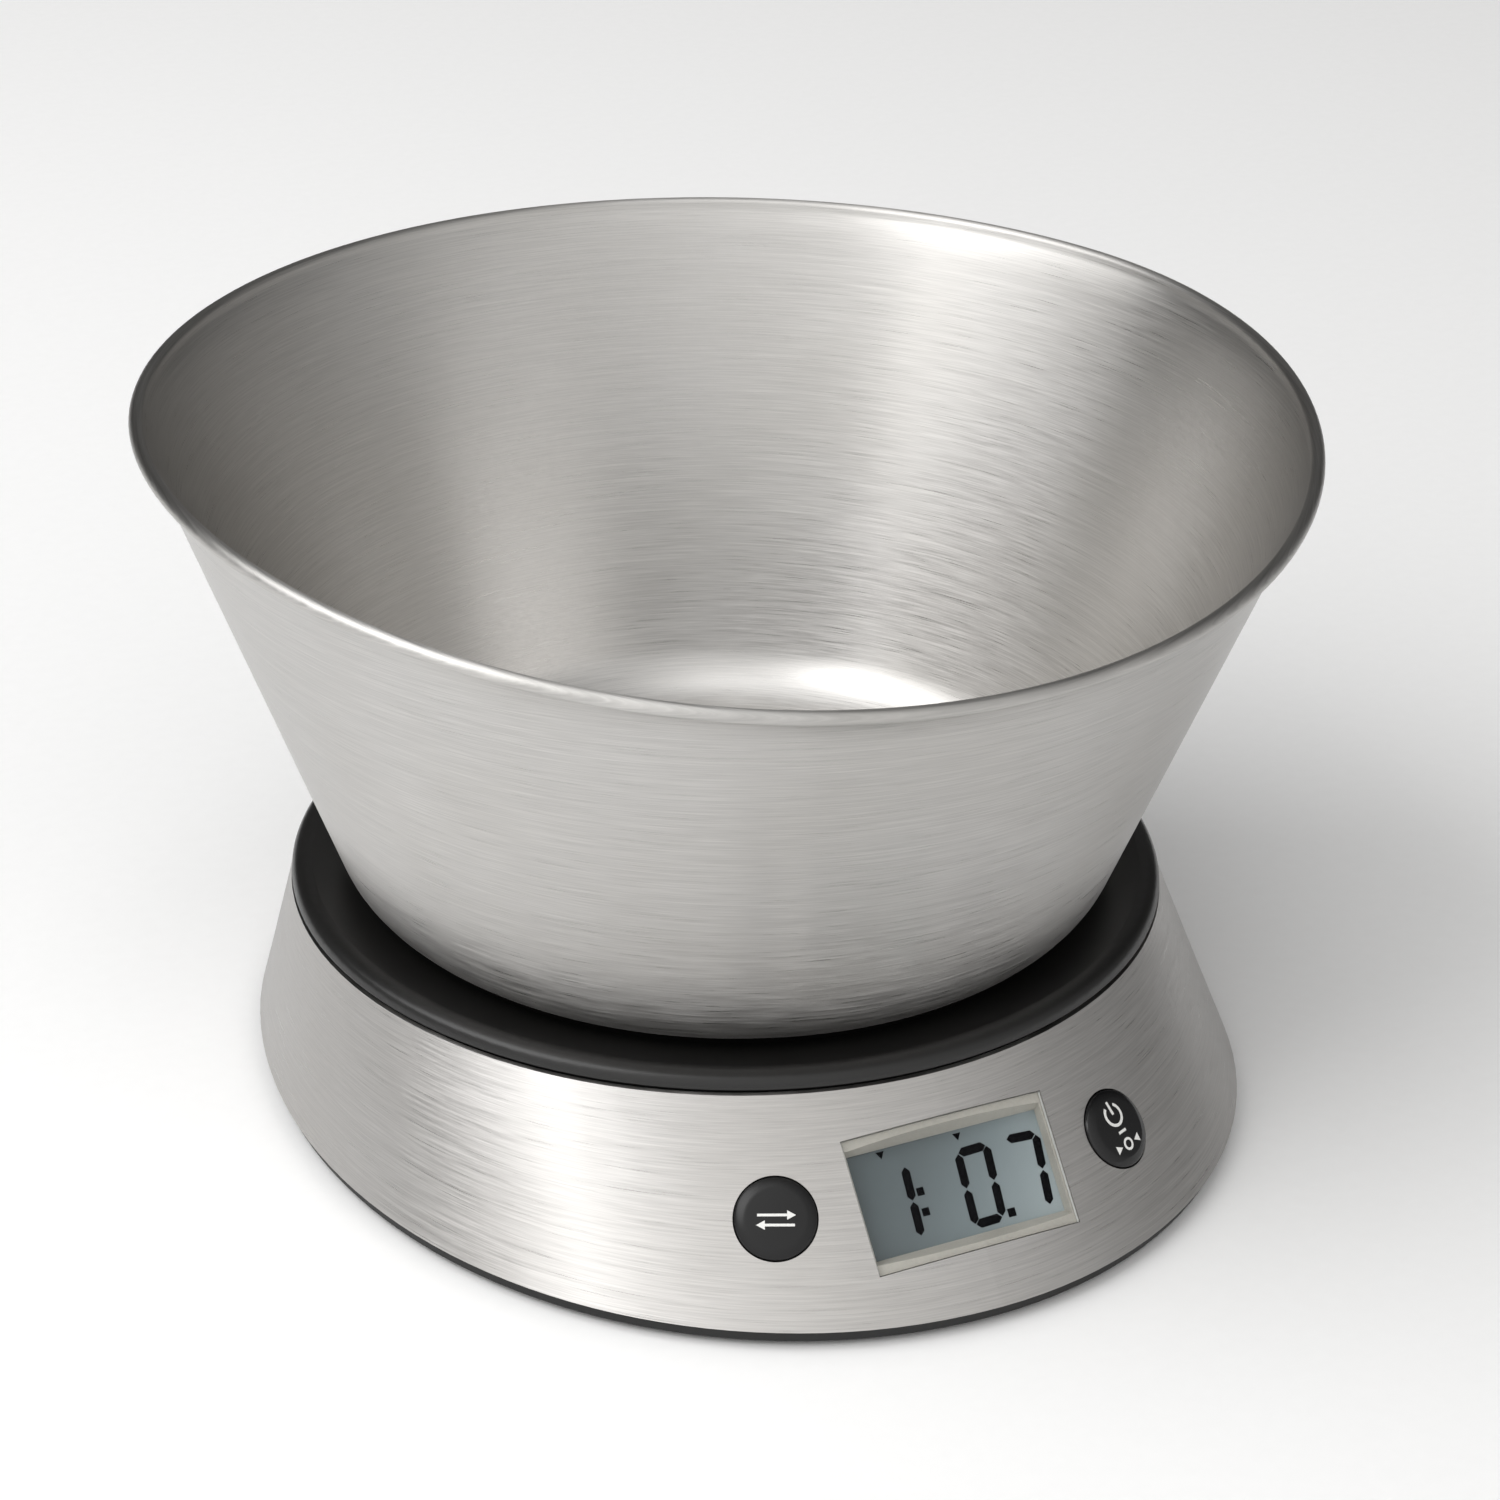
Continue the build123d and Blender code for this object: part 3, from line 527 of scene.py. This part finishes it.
def bowl_piece():
    mesh = bmesh.new()
    columns = [bowl_column(mesh, 2 * math.pi * k / BOWL_SIDES) for k in range(BOWL_SIDES)]
    inside_middle = mesh.verts.new((0, 0, (SEAT + SHEET) * MM))
    outside_middle = mesh.verts.new((0, 0, SEAT * MM))
    for (a, first, last), (b, _, _) in zip(columns, columns[1:] + columns[:1]):
        for i in range(len(a) - 1):
            face = mesh.faces.new((a[i], a[i + 1], b[i + 1], b[i]))
            face.material_index = 1 if first <= i < last else 0
        mesh.faces.new((inside_middle, a[0], b[0]))
        mesh.faces.new((outside_middle, b[-1], a[-1]))
    for face in mesh.faces:
        face.smooth = True
    bmesh.ops.recalc_face_normals(mesh, faces=mesh.faces)
    piece = new_piece("bowl_spun", mesh, [bowl_steel, rim_steel], "bowl")
    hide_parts("bowl")


bowl_piece()


# ------------------------------------------------------------------ display figures

def segment(start, end):
    """Bar with pointed ends, between two corners of a digit."""
    a, b = Vector(start), Vector(end)
    along = (b - a).normalized()
    side = Vector((-along.y, along.x)) * SEGMENT / 2
    a, b = a + along * SEGMENT_GAP, b - along * SEGMENT_GAP
    tip = along * SEGMENT / 2
    return [tuple(p) for p in (a, a + tip - side, b - tip - side, b, b - tip + side, a + tip + side)]


def digit(corners, lit):
    """Segments of one figure; corners are top left, top right, bottom right and bottom left."""
    tl, tr, br, bl = [Vector(corner) for corner in corners]
    ml, mr = (tl + bl) / 2, (tr + br) / 2
    lines = {"a": (tl, tr), "b": (tr, mr), "c": (mr, br), "d": (bl, br), "e": (ml, bl), "f": (tl, ml)}
    return [segment(*lines[key]) for key in lit]


def square(x, y, size):
    half = size / 2
    return [(x - half, y - half), (x + half, y - half), (x + half, y + half), (x - half, y + half)]


def display_piece(name, outlines):
    """Thin dark film on the display, from outlines in mm over its plane."""
    mesh = bmesh.new()
    for outline in outlines:
        lower, upper = [[mesh.verts.new(FACE @ (Vector((x, y, z)) * MM)) for x, y in outline]
                        for z in (INK_LOW, INK_HIGH)]
        mesh.faces.new(upper)
        mesh.faces.new(list(reversed(lower)))
        for i in range(len(outline)):
            j = (i + 1) % len(outline)
            mesh.faces.new((lower[i], lower[j], upper[j], upper[i]))
    bmesh.ops.triangulate(mesh, faces=mesh.faces)
    new_piece(name, mesh, [segment_ink], "base")


one = digit([(-13.5, 7.4), (-8.0, 7.4), (-8.6, -4.9), (-14.1, -4.9)], "bc")
zero = digit([(2.5, 7.2), (8.15, 7.4), (7.3, -5.3), (1.9, -5.45)], "abcdef")
seven = digit([(12.15, 7.4), (18.0, 7.1), (16.75, -5.5), (10.9, -5.3)], "abc")
points = [square(-6.4, 2.55, 1.4), square(-6.5, -1.05, 1.4), square(9.2, -5.0, 1.5)]
pointers = [[(-12.5, 10.9), (-11.7, 9.6), (-10.9, 10.9)], [(2.5, 10.7), (3.3, 9.4), (4.1, 10.7)]]
display_piece("display_figures", one + zero + seven + points)
display_piece("display_unit_marks", pointers)


# ------------------------------------------------------------------ buttons

def dome_height(radius):
    return BUTTON_PROUD - BUTTON_DOME + math.sqrt(BUTTON_DOME ** 2 - radius * radius)


def button_profile():
    """From near the middle of the dome, over the ring and the flange, to the end of the push boss."""
    dome = [(r, dome_height(r)) for r in DOME_RINGS]
    flange = [(SKIRT_RADIUS, FLANGE_TOP), (FLANGE_RADIUS, FLANGE_TOP), (FLANGE_RADIUS, FLANGE_BOTTOM)]
    hollow = [(HOLLOW_RADIUS, FLANGE_BOTTOM), (HOLLOW_RADIUS, HOLLOW_TOP), (BOSS_RADIUS, HOLLOW_TOP)]
    return dome + RING_PROFILE + flange + hollow + [(BOSS_RADIUS, BOSS_END)]


def ring(mesh, place, radius, height):
    turns = [2 * math.pi * k / BUTTON_SIDES for k in range(BUTTON_SIDES)]
    points = [Vector((radius * math.cos(t), radius * math.sin(t), height)) * MM for t in turns]
    return [mesh.verts.new(place @ point) for point in points]


def button_piece(name, material):
    """Shallow domed cap inside a broad sloping ring, on its flange and push boss."""
    mesh = bmesh.new()
    place = BUTTONS[name]
    rings = [ring(mesh, place, radius, height) for radius, height in button_profile()]
    middle = mesh.verts.new(place @ (Vector((0, 0, BUTTON_PROUD)) * MM))
    for k in range(BUTTON_SIDES):
        j = (k + 1) % BUTTON_SIDES
        mesh.faces.new((middle, rings[0][k], rings[0][j]))
        for low, high in zip(rings[1:], rings):
            mesh.faces.new((low[k], low[j], high[j], high[k]))
    mesh.faces.new(list(reversed(rings[-1])))
    bmesh.ops.recalc_face_normals(mesh, faces=mesh.faces)
    for face in mesh.faces:
        face.smooth = True
    for edge in mesh.edges:
        if len(edge.link_faces) == 2 and edge.calc_face_angle() > BUTTON_CREASE:
            edge.smooth = False
    piece = new_piece(name + "_button_cap", mesh, [material], name + "_button")
    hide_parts(name + "_button")


button_piece("unit", satin_button)
button_piece("tare", gloss_button)


# ------------------------------------------------------------------ printing on the buttons

def arc_band(x, y, radius, width, start, end, steps=28):
    """Part of a ring as a row of short quads, from one angle to another in degrees."""
    quads = []
    inner, outer = radius - width / 2, radius + width / 2
    for i in range(steps):
        a, b = (math.radians(start + (end - start) * k / steps) for k in (i, i + 1))
        corners = ((inner, a), (outer, a), (outer, b), (inner, b))
        quads.append([(x + r * math.cos(t), y + r * math.sin(t)) for r, t in corners])
    return quads


def bar(x0, y0, x1, y1, width, steps=5):
    """Straight stroke as a row of short quads, so that it can follow a dome."""
    a, b = Vector((x0, y0)), Vector((x1, y1))
    side = Vector((-(b - a).y, (b - a).x)).normalized() * width / 2
    ends = [a.lerp(b, i / steps) for i in range(steps + 1)]
    return [[tuple(p) for p in (c - side, d - side, d + side, c + side)] for c, d in zip(ends, ends[1:])]


def button_print(name, outlines):
    """Marks that follow the button's shallow dome."""
    mesh = bmesh.new()
    for outline in outlines:
        corners = [Vector((x, y, dome_height(math.hypot(x, y)) + PRINT_LIFT)) * MM for x, y in outline]
        mesh.faces.new([mesh.verts.new(BUTTONS[name] @ corner) for corner in corners])
    piece = new_piece(name + "_button_print", mesh, [print_white], name + "_button")
    piece.modifiers.new("thickness", "SOLIDIFY").thickness = PRINT_THICKNESS * MM


swap_arrows = bar(-3.2, 0.55, 2.0, 0.55, 0.45) + bar(-2.0, -1.15, 3.2, -1.15, 0.45)
swap_arrows += [[(1.9, -0.25), (3.4, 0.55), (1.9, 1.35)], [(-1.9, -1.95), (-1.9, -0.35), (-3.4, -1.15)]]
power_ring = arc_band(0, 2.45, 1.95, 0.55, 125, 415) + bar(0, 2.5, 0, 5.0, 0.55)
dash = bar(-1.0, -0.85, 1.0, -0.85, 0.5)
zero_ring = arc_band(0, -3.3, 0.95, 0.45, 0, 360, 24)
zero_arrows = [[(-3.2, -2.5), (-3.2, -4.1), (-1.75, -3.3)], [(3.2, -4.1), (3.2, -2.5), (1.75, -3.3)]]
button_print("unit", swap_arrows)
button_print("tare", power_ring + dash + zero_ring + zero_arrows)


# ------------------------------------------------------------------ stage

# Brightness of the studio walls by azimuth in degrees, where 0 is straight ahead of the display.
WALLS = [(-180, 0.05), (-150, 0.05), (-115, 0.24), (-80, 0.95), (-40, 1.25), (25, 0.85),
         (70, 0.36), (115, 0.05), (150, 0.14), (180, 0.05)]
WALL_TINT = (1.0, 0.995, 0.985)

FLOOR_SIZE = 30
LIGHT_TARGET = Vector((0, 0, 0.05))

EYE = Vector((-0.26838, -0.543025, 0.375832))
EYE_RIGHT = Vector((0.898384, -0.438669, 0.02179))
EYE_UP = Vector((0.186486, 0.425897, 0.885345))
EYE_FORWARD = Vector((0.397654, 0.791316, -0.464425))
FOCAL_LENGTH = 87.36


def floor():
    """Pale paper."""
    bpy.ops.mesh.primitive_plane_add(size=FLOOR_SIZE, location=(0, 0, 0))
    plane = bpy.context.object
    plane.name = "floor"
    surface = Surface("floor_paper", (0.97, 0.97, 0.97), 0.9)
    grain = surface.noise(surface.place(), 300.0, 3.0)
    surface.set("Base Color", surface.ramp(grain, [(0.3, 0.965), (0.7, 0.98)]))
    plane.data.materials.append(surface.material)


def area_light(name, place, size, power):
    data = bpy.data.lights.new(name, "AREA")
    data.shape = "RECTANGLE"
    data.size, data.size_y = size
    data.energy = power
    lamp = linked(name, data)
    lamp.location = place
    direction = LIGHT_TARGET - Vector(place)
    lamp.rotation_euler = direction.to_track_quat("-Z", "Y").to_euler()


def surroundings():
    """Soft studio walls around the object: bright to the left of the display, dark to the right."""
    world = bpy.data.worlds.new("studio")
    bpy.context.scene.world = world
    world.use_nodes = True
    nodes = Nodes(world.node_tree)
    x, y, _ = nodes.parts(nodes.place("Generated"))
    azimuth = nodes.math("ARCTAN2", x, nodes.times(y, -1.0))
    part = nodes.spread(azimuth, 0.0, 1.0, -math.pi, math.pi)
    stops = [((angle + 180) / 360, tuple(level * tint for tint in WALL_TINT)) for angle, level in WALLS]
    background = world.node_tree.nodes["Background"]
    nodes.feed(background.inputs["Color"], nodes.ramp(part, stops))
    nodes.feed(background.inputs["Strength"], 1.0)


def around(azimuth, elevation, distance):
    a, e = math.radians(azimuth), math.radians(elevation)
    level = distance * math.cos(e)
    return (level * math.sin(a), -level * math.cos(a), distance * math.sin(e))


def camera():
    data = bpy.data.cameras.new("camera")
    data.sensor_width = 36
    data.lens = FOCAL_LENGTH
    data.clip_start, data.clip_end = 0.01, 20
    eye = linked("camera", data)
    rotation = Matrix((EYE_RIGHT, EYE_UP, -EYE_FORWARD)).transposed().to_4x4()
    eye.matrix_world = Matrix.Translation(EYE) @ rotation
    bpy.context.scene.camera = eye


floor()
area_light("key", around(-96, 50, 1.5), (1.4, 1.0), 13)
area_light("top", (-0.1, 0.1, 1.6), (1.0, 1.0), 3.5)
surroundings()
camera()
bpy.context.scene.view_settings.view_transform = "Standard"
